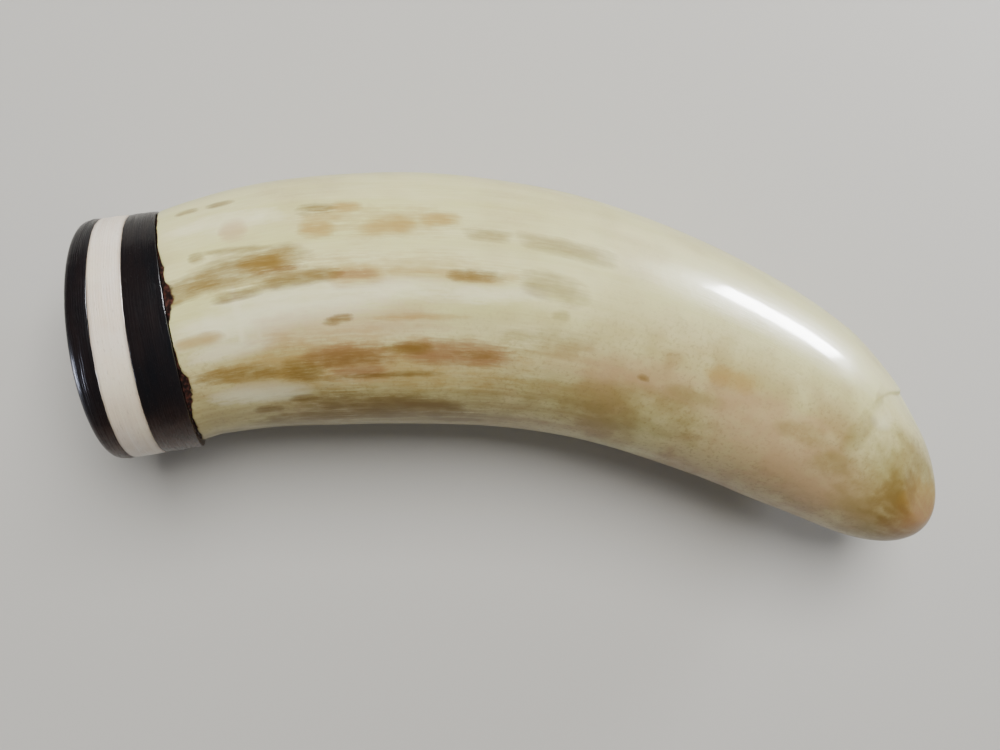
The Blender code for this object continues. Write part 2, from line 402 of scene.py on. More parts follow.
def base_point(along: np.ndarray, side: np.ndarray, up: np.ndarray) -> np.ndarray:
    """Points given in the base's own directions, as x, y and z.

    Each is the axis's foot, plus so far along its heading and so far to its left, and so far above it.

    Args:
        along: how far toward the tip of the seam with the tooth.
        side: how far to the left of the axis.
        up: how far above it.

    Returns:
        The points.
    """
    x = AXIS_FOOT[0] + along * math.cos(BASE_HEADING) - side * math.sin(BASE_HEADING)
    y = AXIS_FOOT[1] + along * math.sin(BASE_HEADING) + side * math.cos(BASE_HEADING)
    return np.stack([x, y, AXIS_HEIGHT + up], axis=-1)


class Sketch:
    """Adds nodes to a node tree in few words."""

    def __init__(self, tree: bpy.types.NodeTree) -> None:
        """Keeps the tree that the nodes go in."""
        self.tree = tree

    def add(self, kind: str, **settings: object) -> bpy.types.Node:
        """Adds a node.

        Args:
            kind: its type.
            settings: its properties.

        Returns:
            The node.
        """
        node = self.tree.nodes.new(kind)
        for name, value in settings.items():
            setattr(node, name, value)
        return node

    def feed(self, socket: Socket, source: Source) -> None:
        """Links a source to a socket, or sets the socket's value where the source is a plain one.

        Args:
            socket: the input.
            source: another node's output, a number, or a colour of three numbers.
        """
        if isinstance(source, Socket):
            self.tree.links.new(source, socket)
        elif isinstance(source, tuple) and len(source) == 3 and socket.type == "RGBA":
            socket.default_value = (*source, 1.0)
        else:
            socket.default_value = source

    def math(self, operation: str, *values: Source, clamp: bool = False) -> Socket:
        """One sum on two or three values.

        Args:
            operation: the Math node's operation.
            values: what it works on.
            clamp: whether the result is held to 0..1.

        Returns:
            The result.
        """
        node = self.add("ShaderNodeMath", operation=operation, use_clamp=clamp)
        for socket, value in zip(node.inputs, values):
            self.feed(socket, value)
        return node.outputs[0]

    def weigh(self, *parts: tuple[Source, float], offset: float = 0.0) -> Socket:
        """Adds up values, each times its own weight, and an offset.

        Args:
            parts: (value, weight) pairs.
            offset: what is added to them.

        Returns:
            The sum.
        """
        total = offset
        for value, weight in parts:
            total = self.math("MULTIPLY_ADD", value, weight, total)
        return total

    def between(self, value: Source, low: float, high: float, to_low: float = 0.0,
                to_high: float = 1.0) -> Socket:
        """Maps low..high smoothly onto to_low..to_high, held at both ends.

        Args:
            value: what is mapped.
            low: where the rise starts.
            high: where it ends.
            to_low: the result up to low.
            to_high: the result from high on.

        Returns:
            The result.
        """
        node = self.add("ShaderNodeMapRange", interpolation_type="SMOOTHSTEP", clamp=True)
        node.inputs["From Min"].default_value = low
        node.inputs["From Max"].default_value = high
        node.inputs["To Min"].default_value = to_low
        node.inputs["To Max"].default_value = to_high
        self.feed(node.inputs["Value"], value)
        return node.outputs["Result"]

    def blend(self, factor: Source, under: Source, over: Source) -> Socket:
        """Mixes two colours.

        Args:
            factor: 0 for the one under, 1 for the one over.
            under: the first colour.
            over: the second colour.

        Returns:
            The mixed colour.
        """
        node = self.add("ShaderNodeMix", data_type="RGBA")
        self.feed(node.inputs["Factor"], factor)
        self.feed(node.inputs[6], under)
        self.feed(node.inputs[7], over)
        return node.outputs[2]

    def choose(self, factor: Source, first: Source, second: Source) -> Socket:
        """Mixes two values.

        Args:
            factor: 0 for the first, 1 for the second.
            first: the first value.
            second: the second value.

        Returns:
            The mixed value.
        """
        node = self.add("ShaderNodeMix", data_type="FLOAT")
        self.feed(node.inputs[0], factor)
        self.feed(node.inputs[2], first)
        self.feed(node.inputs[3], second)
        return node.outputs[0]

    def noise(self, vector: Socket, scale: float, detail: float = 2.0, roughness: float = 0.5) -> Socket:
        """A noise texture's value.

        Args:
            vector: where it is read.
            scale: cells to a metre.
            detail: how many finer layers it has.
            roughness: how strong these are.

        Returns:
            The value.
        """
        node = self.add("ShaderNodeTexNoise")
        self.feed(node.inputs["Vector"], vector)
        node.inputs["Scale"].default_value = scale
        node.inputs["Detail"].default_value = detail
        node.inputs["Roughness"].default_value = roughness
        return node.outputs["Fac"]

    def attribute(self, name: str) -> Socket:
        """One of the mesh's own values."""
        return self.add("ShaderNodeAttribute", attribute_name=name).outputs["Fac"]


def new_group(name: str, numbers: dict[str, float]) -> tuple[Sketch, bpy.types.Node, bpy.types.Node]:
    """Starts a shader node group with a Vector input, number inputs and a Mask output.

    Args:
        name: the group's name.
        numbers: its number inputs with their usual values.

    Returns:
        A sketch of the group, its input node and its output node.
    """
    tree = bpy.data.node_groups.new(name, "ShaderNodeTree")
    tree.interface.new_socket("Vector", in_out="INPUT", socket_type="NodeSocketVector")
    for number, usual in numbers.items():
        socket = tree.interface.new_socket(number, in_out="INPUT", socket_type="NodeSocketFloat")
        socket.default_value = usual
    tree.interface.new_socket("Mask", in_out="OUTPUT", socket_type="NodeSocketFloat")
    sketch = Sketch(tree)
    return sketch, sketch.add("NodeGroupInput"), sketch.add("NodeGroupOutput")


def grain_group() -> bpy.types.NodeTree:
    """Drawn-out grain: noise with so many cells a metre along x and so many across it.

    Returns:
        The group.
    """
    sketch, inputs, outputs = new_group("drawn_grain", {"Along": 40.0, "Across": 900.0, "Seed": 0.0})
    parts = sketch.add("ShaderNodeSeparateXYZ")
    sketch.feed(parts.inputs[0], inputs.outputs["Vector"])
    across = inputs.outputs["Across"]
    joined = sketch.add("ShaderNodeCombineXYZ")
    sketch.feed(joined.inputs[0], sketch.math("MULTIPLY", parts.outputs[0], inputs.outputs["Along"]))
    sketch.feed(joined.inputs[1], sketch.math("MULTIPLY", parts.outputs[1], across))
    seeded = sketch.math("MULTIPLY_ADD", parts.outputs[2], across, inputs.outputs["Seed"])
    sketch.feed(joined.inputs[2], seeded)
    value = sketch.noise(joined.outputs[0], 1.0, 4.0, 0.6)
    sketch.feed(outputs.inputs["Mask"], sketch.between(value, 0.30, 0.70))
    return sketch.tree


def scratch_group() -> bpy.types.NodeTree:
    """Hairline scratches: the thin peaks of a noise drawn out along a turned direction.

    Returns:
        The group.
    """
    sketch, inputs, outputs = new_group("hairline_scratches", {"Turn": 0.5, "Amount": 0.5})
    turned = sketch.add("ShaderNodeVectorRotate", rotation_type="Z_AXIS")
    sketch.feed(turned.inputs["Vector"], inputs.outputs["Vector"])
    sketch.feed(turned.inputs["Angle"], inputs.outputs["Turn"])
    stretched = sketch.add("ShaderNodeVectorMath", operation="MULTIPLY")
    sketch.feed(stretched.inputs[0], turned.outputs[0])
    stretched.inputs[1].default_value = (90.0, 2600.0, 2600.0)
    peaks = sketch.between(sketch.noise(stretched.outputs[0], 1.0, 1.0), 0.66, 0.78)
    sketch.feed(outputs.inputs["Mask"], sketch.math("MULTIPLY", peaks, inputs.outputs["Amount"]))
    return sketch.tree


@dataclass
class Workshop:
    """The two node groups that every finish shares."""

    grain: bpy.types.NodeTree = field(default_factory=grain_group)
    scratches: bpy.types.NodeTree = field(default_factory=scratch_group)


class Bench(Sketch):
    """A new material: its shader, its coordinates and the shared groups."""

    def __init__(self, name: str, shop: Workshop) -> None:
        """Starts the material.

        Args:
            name: its name.
            shop: the shared node groups.
        """
        self.material = bpy.data.materials.new(name)
        self.material.use_nodes = True
        super().__init__(self.material.node_tree)
        self.shop = shop
        self.shader = self.tree.nodes["Principled BSDF"]
        self.place = self.add("ShaderNodeTexCoord").outputs["Object"]
        self.straight = self.add("ShaderNodeAttribute", attribute_name="straight").outputs["Vector"]

    def shared(self, tree: bpy.types.NodeTree, numbers: dict[str, float]) -> Socket:
        """Places a shared group so that it follows the piece.

        Args:
            tree: the group.
            numbers: its number inputs' values.

        Returns:
            Its mask.
        """
        node = self.add("ShaderNodeGroup", node_tree=tree)
        self.feed(node.inputs["Vector"], self.straight)
        for name, number in numbers.items():
            node.inputs[name].default_value = number
        return node.outputs["Mask"]

    def grain(self, along: float, across: float, seed: float) -> Socket:
        """Drawn-out grain of so many cells a metre along the piece and across it."""
        return self.shared(self.shop.grain, {"Along": along, "Across": across, "Seed": seed})

    def scratches(self, turn: float, amount: float) -> Socket:
        """Hairline scratches turned so many radians from the piece's length."""
        return self.shared(self.shop.scratches, {"Turn": turn, "Amount": amount})

    def give(self, name: str, source: Socket) -> None:
        """Feeds one of the shader's sockets."""
        self.feed(self.shader.inputs[name], source)

    def bump(self, height: Socket, strength: float, distance: float) -> None:
        """Gives the shader normals bent by a height.

        Args:
            height: the height, 0 to 1.
            strength: the Bump node's strength.
            distance: metres that a height of 1 stands for.
        """
        node = self.add("ShaderNodeBump")
        node.inputs["Strength"].default_value = strength
        node.inputs["Distance"].default_value = distance
        self.feed(node.inputs["Height"], height)
        self.give("Normal", node.outputs["Normal"])

    def settle(self, constants: dict[str, object]) -> None:
        """Sets numbers on the shader's own sockets."""
        for name, value in constants.items():
            self.shader.inputs[name].default_value = value


@dataclass(frozen=True)
class IvoryGrain:
    """The noises and masks that the ivory's colour, gloss and relief share.

    Attributes:
        bold: long streaks that break the stains.
        fine: hairline streaks.
        flecks: short streaks.
        streak: the longest and widest streaks.
        mottle: soft patches.
        speck: fine specks.
        crumb: the finest specks.
        root: how far the grain is drawn out, 1 at the root.
        age: how tan the ivory is, and on the lower flank also how much shade is painted in.
        chip: where the root's edge is broken.
    """

    bold: Socket
    fine: Socket
    flecks: Socket
    streak: Socket
    mottle: Socket
    speck: Socket
    crumb: Socket
    root: Socket
    age: Socket
    chip: Socket


@dataclass(frozen=True)
class IvoryFinish:
    """Old polished ivory: cream that yellows and tans, with stains drawn out along the grain and painted
    shade on the lower flank.

    Each colour is linear.
    """

    cream: Colour = (0.76, 0.73, 0.39)
    butter: Colour = (0.67, 0.66, 0.29)
    # The tan also paints the lower flank's shade.
    tan: Colour = (0.36, 0.255, 0.105)
    blush: Colour = (0.46, 0.31, 0.18)
    dots: Colour = (0.24, 0.165, 0.075)
    lines: Colour = (0.44, 0.33, 0.17)
    chip: Colour = (0.012, 0.007, 0.006)
    chip_red: Colour = (0.085, 0.030, 0.022)
    roughness: float = 0.30
    stain_gain: float = 3.0
    stain_base: float = 0.20
    stain_floor: float = 0.20
    stain_half: float = 0.60
    tones: tuple[tuple[Tone, Colour], ...] = (
        (Tone.PALE, (0.90, 0.87, 0.62)),
        (Tone.PINK, (0.53, 0.365, 0.200)),
        (Tone.OLIVE, (0.25, 0.190, 0.052)),
        (Tone.ORANGE, (0.40, 0.245, 0.058)),
        (Tone.RUSSET, (0.27, 0.135, 0.058)),
        (Tone.BROWN, (0.18, 0.102, 0.016)),
    )

    def grain(self, bench: Bench) -> IvoryGrain:
        """Lays out the noises and masks.

        Args:
            bench: the material.

        Returns:
            All of them.
        """
        crumb = bench.noise(bench.place, 1500.0, 3.0, 0.6)
        chipped = bench.math("MULTIPLY_ADD", crumb, 0.45, bench.attribute("chip"))
        return IvoryGrain(
            bold=bench.grain(55.0, 850.0, 1.0),
            fine=bench.grain(160.0, 3600.0, 4.0),
            flecks=bench.grain(420.0, 1900.0, 9.0),
            streak=bench.grain(20.0, 260.0, 12.0),
            mottle=bench.between(bench.noise(bench.place, 75.0, 3.0, 0.6), 0.32, 0.68),
            speck=bench.noise(bench.place, 620.0, 3.0, 0.65),
            crumb=crumb,
            root=bench.attribute("root_grain"),
            age=bench.attribute("age"),
            chip=bench.between(chipped, 0.52, 0.95),
        )

    def ground(self, bench: Bench, grain: IvoryGrain) -> Socket:
        """The unstained colour: cream and butter veils, tan that is real and on the lower flank painted
        shade, blush, dark dots and fine lines.

        Args:
            bench: the material.
            grain: its noises and masks.

        Returns:
            The colour.
        """
        veil = bench.weigh((grain.mottle, 0.35), (grain.streak, 0.65))
        colour = bench.blend(veil, self.cream, self.butter)
        drawn = bench.weigh((grain.bold, 0.5), (grain.streak, 0.5))
        patches = bench.between(bench.choose(grain.root, grain.mottle, drawn), 0.1, 0.9, 0.62, 1.15)
        # Tan with painted shade: the lower flank is darkened as if turned from the light.
        colour = bench.blend(bench.math("MULTIPLY", grain.age, patches), colour, self.tan)
        flush = bench.between(grain.speck, 0.3, 0.7, 0.5, 0.9)
        colour = bench.blend(bench.math("MULTIPLY", bench.attribute("blush"), flush), colour, self.blush)
        dots = bench.between(grain.crumb, 0.50, 0.68, 0.0, 0.46)
        colour = bench.blend(bench.math("MULTIPLY", dots, grain.age), colour, self.dots)
        lines = bench.math("MULTIPLY", grain.root, grain.fine)
        return bench.blend(bench.weigh((lines, 0.20)), colour, self.lines)

    def stained(self, bench: Bench, grain: IvoryGrain, colour: Socket) -> Socket:
        """Lays each tone over the ivory, broken into streaks at the root and into mottle near the tip.

        A tone's depth d is its mask times the broken grain, less stain_floor and never under 0, and it
        covers d / (d + stain_half) of what is under it.

        Args:
            bench: the material.
            grain: its noises and masks.
            colour: the unstained colour.

        Returns:
            The stained colour.
        """
        drawn = bench.weigh((grain.bold, 0.34), (grain.flecks, 0.46), (grain.fine, 0.20))
        rubbed = bench.weigh((grain.mottle, 0.40), (grain.speck, 0.60))
        pattern = bench.choose(grain.root, rubbed, drawn)
        broken = bench.math("MULTIPLY_ADD", pattern, self.stain_gain, self.stain_base)
        for tone, tint in self.tones:
            depth = bench.math("MULTIPLY_ADD", bench.attribute(tone.value), broken, -self.stain_floor)
            depth = bench.math("MAXIMUM", depth, 0.0)
            cover = bench.math("DIVIDE", depth, bench.math("ADD", depth, self.stain_half))
            colour = bench.blend(cover, colour, tint)
        return colour

    def material(self, shop: Workshop) -> bpy.types.Material:
        """Builds the ivory's node material.

        Args:
            shop: the shared node groups.

        Returns:
            The material.
        """
        bench = Bench("polished_ivory", shop)
        grain = self.grain(bench)
        colour = self.stained(bench, grain, self.ground(bench, grain))
        chip_tint = bench.blend(bench.between(grain.crumb, 0.42, 0.66), self.chip, self.chip_red)
        bench.give("Base Color", bench.blend(grain.chip, colour, chip_tint))
        scored = bench.math("MAXIMUM", bench.scratches(0.35, 0.35), bench.scratches(1.45, 0.30))
        rough = bench.weigh((grain.mottle, 0.07), (scored, 0.16), (grain.chip, 0.35), offset=self.roughness)
        bench.give("Roughness", rough)
        ripple = bench.noise(bench.straight, 420.0, 2.0)
        pits = bench.math("MULTIPLY", grain.chip, grain.speck)
        height = bench.weigh((grain.fine, 0.20), (grain.speck, 0.55), (ripple, 0.70), (scored, -0.30),
                             (pits, -3.0))
        bench.bump(height, 0.6, 0.00005)
        bench.settle({"IOR": 1.48, "Specular IOR Level": 0.14, "Subsurface Weight": 0.12,
                      "Subsurface Radius": (1.0, 0.55, 0.30), "Subsurface Scale": 0.003,
                      "Coat Weight": 0.27, "Coat Roughness": 0.10})
        return bench.material


@dataclass(frozen=True)
class HornFinish:
    """Polished black horn with turning lines; its lower side is painted reddish brown, a painted glow of
    light through it.

    Each colour is linear.
    """

    black: Colour = (0.0040, 0.0046, 0.0062)
    brown: Colour = (0.060, 0.024, 0.0140)
    dust: Colour = (0.060, 0.048, 0.044)
    roughness: float = 0.17

    def material(self, shop: Workshop) -> bpy.types.Material:
        """Builds the horn's node material.

        Args:
            shop: the shared node groups.

        Returns:
            The material.
        """
        bench = Bench("dark_horn", shop)
        turned = bench.grain(5200.0, 25.0, 2.0)
        streak = bench.grain(260.0, 60.0, 6.0)
        patch = bench.between(bench.noise(bench.place, 160.0, 4.0, 0.6), 0.35, 0.65)
        # Painted light: the lower side glows reddish brown as if lit through the horn.
        glow = bench.math("MULTIPLY", bench.attribute("lower_side_glow"), bench.weigh((patch, 0.6), offset=0.4))
        glow = bench.math("MULTIPLY_ADD", streak, 0.10, glow, clamp=True)
        dusty = bench.between(bench.noise(bench.place, 2400.0, 2.0), 0.68, 0.82, 0.0, 0.20)
        bench.give("Base Color", bench.blend(dusty, bench.blend(glow, self.black, self.brown), self.dust))
        hair = bench.scratches(1.50, 0.7)
        rough = bench.weigh((turned, 0.12), (hair, 0.20), (patch, 0.08), offset=self.roughness)
        bench.give("Roughness", rough)
        bench.bump(bench.math("SUBTRACT", turned, hair), 0.5, 0.000022)
        bench.settle({"IOR": 1.50, "Specular IOR Level": 0.20, "Coat Weight": 0.06, "Coat Roughness": 0.12})
        return bench.material


@dataclass(frozen=True)
class BoneFinish:
    """Pale turned bone: pinkish cream with fine lines parallel to the disc's faces.

    Each colour is linear.
    """

    pale: Colour = (0.86, 0.79, 0.71)
    warm: Colour = (0.85, 0.77, 0.60)
    shade: Colour = (0.69, 0.55, 0.42)
    pore: Colour = (0.34, 0.24, 0.17)
    grime: Colour = (0.25, 0.17, 0.12)
    roughness: float = 0.34

    def material(self, shop: Workshop) -> bpy.types.Material:
        """Builds the bone's node material.

        Args:
            shop: the shared node groups.

        Returns:
            The material.
        """
        bench = Bench("pale_bone", shop)
        lines = bench.grain(4300.0, 45.0, 3.0)
        broad = bench.grain(900.0, 40.0, 5.0)
        pores = bench.grain(5200.0, 700.0, 8.0)
        mottle = bench.between(bench.noise(bench.place, 120.0, 3.0, 0.6), 0.35, 0.65)
        warmth = bench.between(bench.noise(bench.place, 55.0, 2.0), 0.40, 0.60)
        shade = bench.weigh((lines, 0.32), (mottle, 0.28), (broad, 0.15))
        colour = bench.blend(shade, bench.blend(warmth, self.pale, self.warm), self.shade)
        colour = bench.blend(bench.between(pores, 0.86, 1.0, 0.0, 0.35), colour, self.pore)
        grimy = bench.weigh((bench.attribute("grime"), 0.45))
        bench.give("Base Color", bench.blend(grimy, colour, self.grime))
        hair = bench.scratches(1.52, 0.6)
        bench.give("Roughness", bench.weigh((lines, 0.10), (hair, 0.12), offset=self.roughness))
        bench.bump(bench.math("MULTIPLY_ADD", pores, -0.4, lines), 0.6, 0.00005)
        bench.settle({"IOR": 1.53, "Subsurface Weight": 0.10, "Subsurface Radius": (1.0, 0.6, 0.4),
                      "Subsurface Scale": 0.002})
        return bench.material


@dataclass
class Tooth:
    """The tooth's form, relief and stains.

    Lengths are metres and angles degrees. Curves give (share of the length, value) from the base to the
    tip, but the chips' and the ledge's give (degrees round, value). The chips' values are millimetres,
    and those of ring_runs are the distance from one ring to the next.
    """

    length: float = 0.1523
    belly_width: float = 0.0446
    belly_depth: float = 0.0410
    root_width: float = 0.0394
    root_depth: float = 0.0376
    root_offset: float = 0.0003
    root_heading: float = 18.7
    flat_depth: float = 0.0003
    flat_start: float = 0.20
    flat_end: float = 0.62
    tip_rise: float = 0.0050
    tip_rise_power: float = 1.6
    tip_start: float = 0.758
    tip_bluntness: float = 1.8
    facet_depth: float = 0.0009
    facet_heading: float = -15.0
    facet_pitch: float = 58.0
    facet_softness: float = 0.00010
    fullness: float = 0.00013
    tip_fullness: float = 0.00022
    seam_gap: float = 0.00003
    seam_fade: float = 0.3
    seam_rounds: int = 12
    wave_height: float = 0.00009
    swell_height: float = 0.00012
    chip_depth: float = 0.00026
    chip_roughness: float = 0.00012
    step_height: float = 0.00046
    crest_step_height: float = 0.00024
    lip_height: float = 0.00016
    crumb_height: float = 0.00022
    sides: int = 264
    line_steps: int = 1301
    ring_steps: int = 4000
    pole_start: float = 0.97
    pole_rings: int = 20
    ring_runs: Curve = ((0.0, 0.00014), (0.028, 0.00014), (0.05, 0.0006), (0.70, 0.0006), (0.755, 0.00030),
                        (0.77, 0.00016), (0.852, 0.00016), (0.88, 0.0006), (0.97, 0.0006), (1.0, 0.0003))
    turn_curve: Curve = ((0.0, 0.0), (0.14, -12.7), (0.32, -22.2), (0.52, -35.6), (0.72, -46.8),
                         (0.88, -61.3), (1.0, -57.2))
    width_curve: Curve = ((0.12, 0.961), (0.30, 1.0), (0.50, 0.956), (0.70, 0.885), (0.86, 0.783),
                          (1.0, 0.729))
    depth_curve: Curve = ((0.12, 0.98), (0.30, 1.0), (0.50, 0.985), (0.70, 0.95), (0.86, 0.87), (1.0, 0.80))
    chip_curve: Curve = ((-90.0, 0.2), (0.0, 0.25), (40.0, 0.25), (56.0, 0.3), (63.0, 1.0), (69.0, 0.7),
                         (76.0, 1.5), (83.0, 1.2), (88.0, 0.25), (104.0, 0.25), (112.0, 0.7), (118.0, 1.4),
                         (125.0, 1.1), (133.0, 0.6), (150.0, 0.5), (180.0, 0.3), (270.0, 0.2))
    ledge_curve: Curve = ((-90.0, 0.90), (0.0, 0.875), (25.0, 0.846), (38.0, 0.837), (52.0, 0.818),
                          (70.0, 0.802), (90.0, 0.806), (112.0, 0.814), (130.0, 0.812), (180.0, 0.85),
                          (270.0, 0.90))

    def sections(self, shares: np.ndarray) -> tuple[np.ndarray, np.ndarray, np.ndarray, np.ndarray]:
        """Sizes and heading of the oval section at each share.

        Past tip_start both halves are multiplied by sqrt(1 − u^bluntness), where u runs from 0 to 1.

        Args:
            shares: shares of the length.

        Returns:
            Half width, half depth, half depth before the tip closes, and heading in radians.
        """
        inside = np.clip(shares, 0.0, 1.0)
        widths = [(0.0, self.root_width / 2)]
        widths += [(at, share * self.belly_width / 2) for at, share in self.width_curve]
        depths = [(0.0, self.root_depth / 2)]
        depths += [(at, share * self.belly_depth / 2) for at, share in self.depth_curve]
        closing = np.clip((inside - self.tip_start) / (1.0 - self.tip_start), 0.0, 1.0)
        cap = np.sqrt(1.0 - closing**self.tip_bluntness)
        full_depth = smooth_through(depths, inside)
        heading = np.radians(self.root_heading + smooth_through(self.turn_curve, inside))
        return smooth_through(widths, inside) * cap, full_depth * cap, full_depth, heading

    def line(self, shares: np.ndarray) -> np.ndarray:
        """Points of the bent middle line, which is its heading added up along the length.

        Its height runs from the axis's at the root to the section's half depth, less the flat, and
        rises by tip_rise times u^tip_rise_power past flat_end.

        Args:
            shares: shares of the length.

        Returns:
            The points.
        """
        fine = np.linspace(-0.1, 1.0, self.line_steps)
        heading = self.sections(fine)[3]
        steps = np.diff(fine)[:, None] * self.length
        ahead = np.stack([np.cos(heading), np.sin(heading)], axis=1)
        path = np.vstack([[0.0, 0.0], np.cumsum((ahead[1:] + ahead[:-1]) / 2 * steps, axis=0)])
        path -= [np.interp(0.0, fine, path[:, 0]), np.interp(0.0, fine, path[:, 1])]
        full_depth = self.sections(shares)[2]
        past_root = ease(shares, 0.0, self.flat_start)
        height = AXIS_HEIGHT + (full_depth - self.flat_depth - AXIS_HEIGHT) * past_root
        past_flat = np.clip((shares - self.flat_end) / (1.0 - self.flat_end), 0.0, 1.0)
        x = AXIS_FOOT[0] + np.interp(shares, fine, path[:, 0])
        y = AXIS_FOOT[1] + self.root_offset + np.interp(shares, fine, path[:, 1])
        return np.stack([x, y, height + self.tip_rise * past_flat**self.tip_rise_power], axis=-1)

    def surface(self, spots: Spots) -> np.ndarray:
        """The plain skin: an oval square to the middle line, half width by cosine, half depth by sine.

        Args:
            spots: where the points lie.

        Returns:
            The points.
        """
        half_width, half_depth, _, heading = self.sections(spots.shares)
        out = half_width * np.cos(spots.turns)
        middle = self.line(spots.shares)
        x = middle[..., 0] - out * np.sin(heading)
        y = middle[..., 1] + out * np.cos(heading)
        return np.stack([x, y, middle[..., 2] + half_depth * np.sin(spots.turns)], axis=-1)

    def seam_shares(self, turns: np.ndarray) -> np.ndarray:
        """The share at which the skin meets the seam's plane, for each angle round.

        Each one is closed in on by moving the share by its distance from the plane, over the length.

        Args:
            turns: the angles, in radians.

        Returns:
            The shares.
        """
        shares = np.zeros_like(turns)
        for _ in range(self.seam_rounds):
            away = self.surface(Spots(shares, turns)) - np.array([*AXIS_FOOT, AXIS_HEIGHT])
            along = away[:, 0] * math.cos(BASE_HEADING) + away[:, 1] * math.sin(BASE_HEADING)
            side = away[:, 1] * math.cos(BASE_HEADING) - away[:, 0] * math.sin(BASE_HEADING)
            shares = shares - (along - self.seam_gap - TOOTH_SEAM.offset(side, away[:, 2])) / self.length
        return shares

    def grid(self) -> Spots:
        """Places of the fine skin's points: rings are close at the root, the ledge and the tip.

        From ring to ring the length grows by ring_runs. Past pole_start the share is
        tip_start + (1 − tip_start) sin(b)^(2 / bluntness) for even steps of the angle b. The slant of
        the seam's plane fades out over the first seam_fade of the length.

        Returns:
            The places, rings by sides.
        """
        turns = angles_round(self.sides)
        fine = np.linspace(0.0, self.pole_start, self.ring_steps)
        count = np.cumsum(np.gradient(fine) * self.length / np.interp(fine, *np.array(self.ring_runs).T))
        body = np.interp(np.arange(0.0, count[-1]), count - count[0], fine)
        reached = (self.pole_start - self.tip_start) / (1.0 - self.tip_start)
        last = math.asin(reached ** (self.tip_bluntness / 2.0))
        bend = np.linspace(last, math.pi / 2, self.pole_rings, endpoint=False)[1:]
        tip = self.tip_start + (1.0 - self.tip_start) * np.sin(bend) ** (2.0 / self.tip_bluntness)
        rings = np.concatenate([body, tip])
        first = self.seam_shares(turns)
        fade = 1.0 - ease(rings, 0.0, self.seam_fade)
        shares = rings[:, None] + first[None, :] * fade[:, None]
        return Spots(shares, np.broadcast_to(turns, shares.shape))

    def chip_mark(self, spots: Spots) -> np.ndarray:
        """Where the root's edge is chipped: 1 at the seam, falling off past each angle's own reach.

        Args:
            spots: where the points lie.

        Returns:
            The mark at each point, 0 to 1.
        """
        reach = smooth_through(self.chip_curve, spots.degrees)
        ragged = spots.cloud(240, 190, 3) * 0.30 + spots.cloud(60, 60, 4) * 0.40
        past_seam = (spots.shares - spots.shares[:1]) * self.length * MILLIMETRES
        return 1.0 - ease(past_seam / np.maximum(reach * (1.0 + ragged), 0.08), 0.35, 1.35)

    def relief(self, spots: Spots, chip: np.ndarray) -> np.ndarray:
        """Height of the fine relief over the plain skin.

        It adds the polish's fullness, low waves along the grain, sunk chips at the seam, and the worn
        step near the tip, which swells to a lip, drops at the ledge and is gone 13 mm on. The step is
        sharp 36 degrees round and soft over the crest. A few crumbs stand up beside the ledge.

        Args:
            spots: where the points lie.
            chip: the chips' mark.

        Returns:
            The height at each point, in metres.
        """
        shares, degrees = spots.shares, spots.degrees
        waves = spots.cloud(7, 34, 11) * self.wave_height * (1.0 - ease(shares, 0.35, 0.75))
        swell = spots.cloud(11, 9, 12) * self.swell_height * (1.0 - ease(shares, 0.88, 1.0))
        full = ease(shares, 0.0, 0.03) * self.fullness + ease(shares, 0.86, 1.0) * self.tip_fullness
        sunk = chip * (self.chip_depth + self.chip_roughness * spots.cloud(300, 160, 13))
        sharp = bell(degrees, 36.0, 20.0)
        past = (shares - smooth_through(self.ledge_curve, degrees)) * self.length
        step = self.step_height * sharp * ease(past, 0.0, 0.0004)
        step = step + self.crest_step_height * bell(degrees, 92.0, 28.0) * ease(past, -0.0006, 0.0022)
        worn = step * (1.0 - ease(past, 0.002, 0.013))
        lip = self.lip_height * sharp * ease(past, -0.006, 0.0) * (1.0 - ease(past, 0.0, 0.0004))
        beside = bell(shares, 0.766, 0.010) * bell(degrees, 20.0, 7.0)
        crumbs = beside * np.maximum(spots.cloud(260, 220, 14), 0.0) * self.crumb_height
        return full + waves + swell + lip - sunk - worn + crumbs

    def worn_facet(self, points: np.ndarray, shares: np.ndarray) -> np.ndarray:
        """Presses the tip's upper side down to a plane, its edge softened.

        The height over the plane is taken off as softness times log(1 + exp(height / softness)).

        Args:
            points: the plain skin.
            shares: share of the length at each point.

        Returns:
            The pressed skin.
        """
        pitch = math.radians(self.facet_pitch)
        heading = math.radians(self.facet_heading)
        level_part = math.cos(pitch)
        toward = np.array([math.cos(heading) * level_part, math.sin(heading) * level_part, math.sin(pitch)])
        level = points @ toward
        over = level - (level[shares > self.tip_start].max() - self.facet_depth)
        soft = self.facet_softness
        taken = soft * np.logaddexp(0.0, over / soft) * ease(shares, 0.60, 0.72)
        return points - taken[..., None] * toward

    def outward(self, points: np.ndarray) -> np.ndarray:
        """Unit normals: the way round crossed with the way along, at each point.

        Args:
            points: the skin, rings by sides by 3.

        Returns:
            The normals.
        """
        around = np.roll(points, -1, axis=1) - np.roll(points, 1, axis=1)
        normal = np.cross(around, np.gradient(points, axis=0))
        return normal / np.maximum(np.linalg.norm(normal, axis=2, keepdims=True), 1e-12)

    def stain_marks(self, spots: Spots) -> dict[str, np.ndarray]:
        """How strongly each tone covers each point: the strongest stain of the tone counts.

        Args:
            spots: where the points lie.

        Returns:
            The covers, by the tone's attribute name.
        """
        half_width, half_depth, _, _ = self.sections(spots.shares)
        radius = np.sqrt(half_width * half_depth) * MILLIMETRES
        warp = spots.cloud(110, 120, 21) * 0.22 + spots.cloud(44, 80, 22) * 0.34
        marks = {tone.value: np.zeros_like(spots.shares) for tone in Tone}
        for tone, stains in STAINS.items():
            for stain in stains:
                cover = stain.cover(spots, radius, warp)
                marks[tone.value] = np.maximum(marks[tone.value], cover)
        return marks

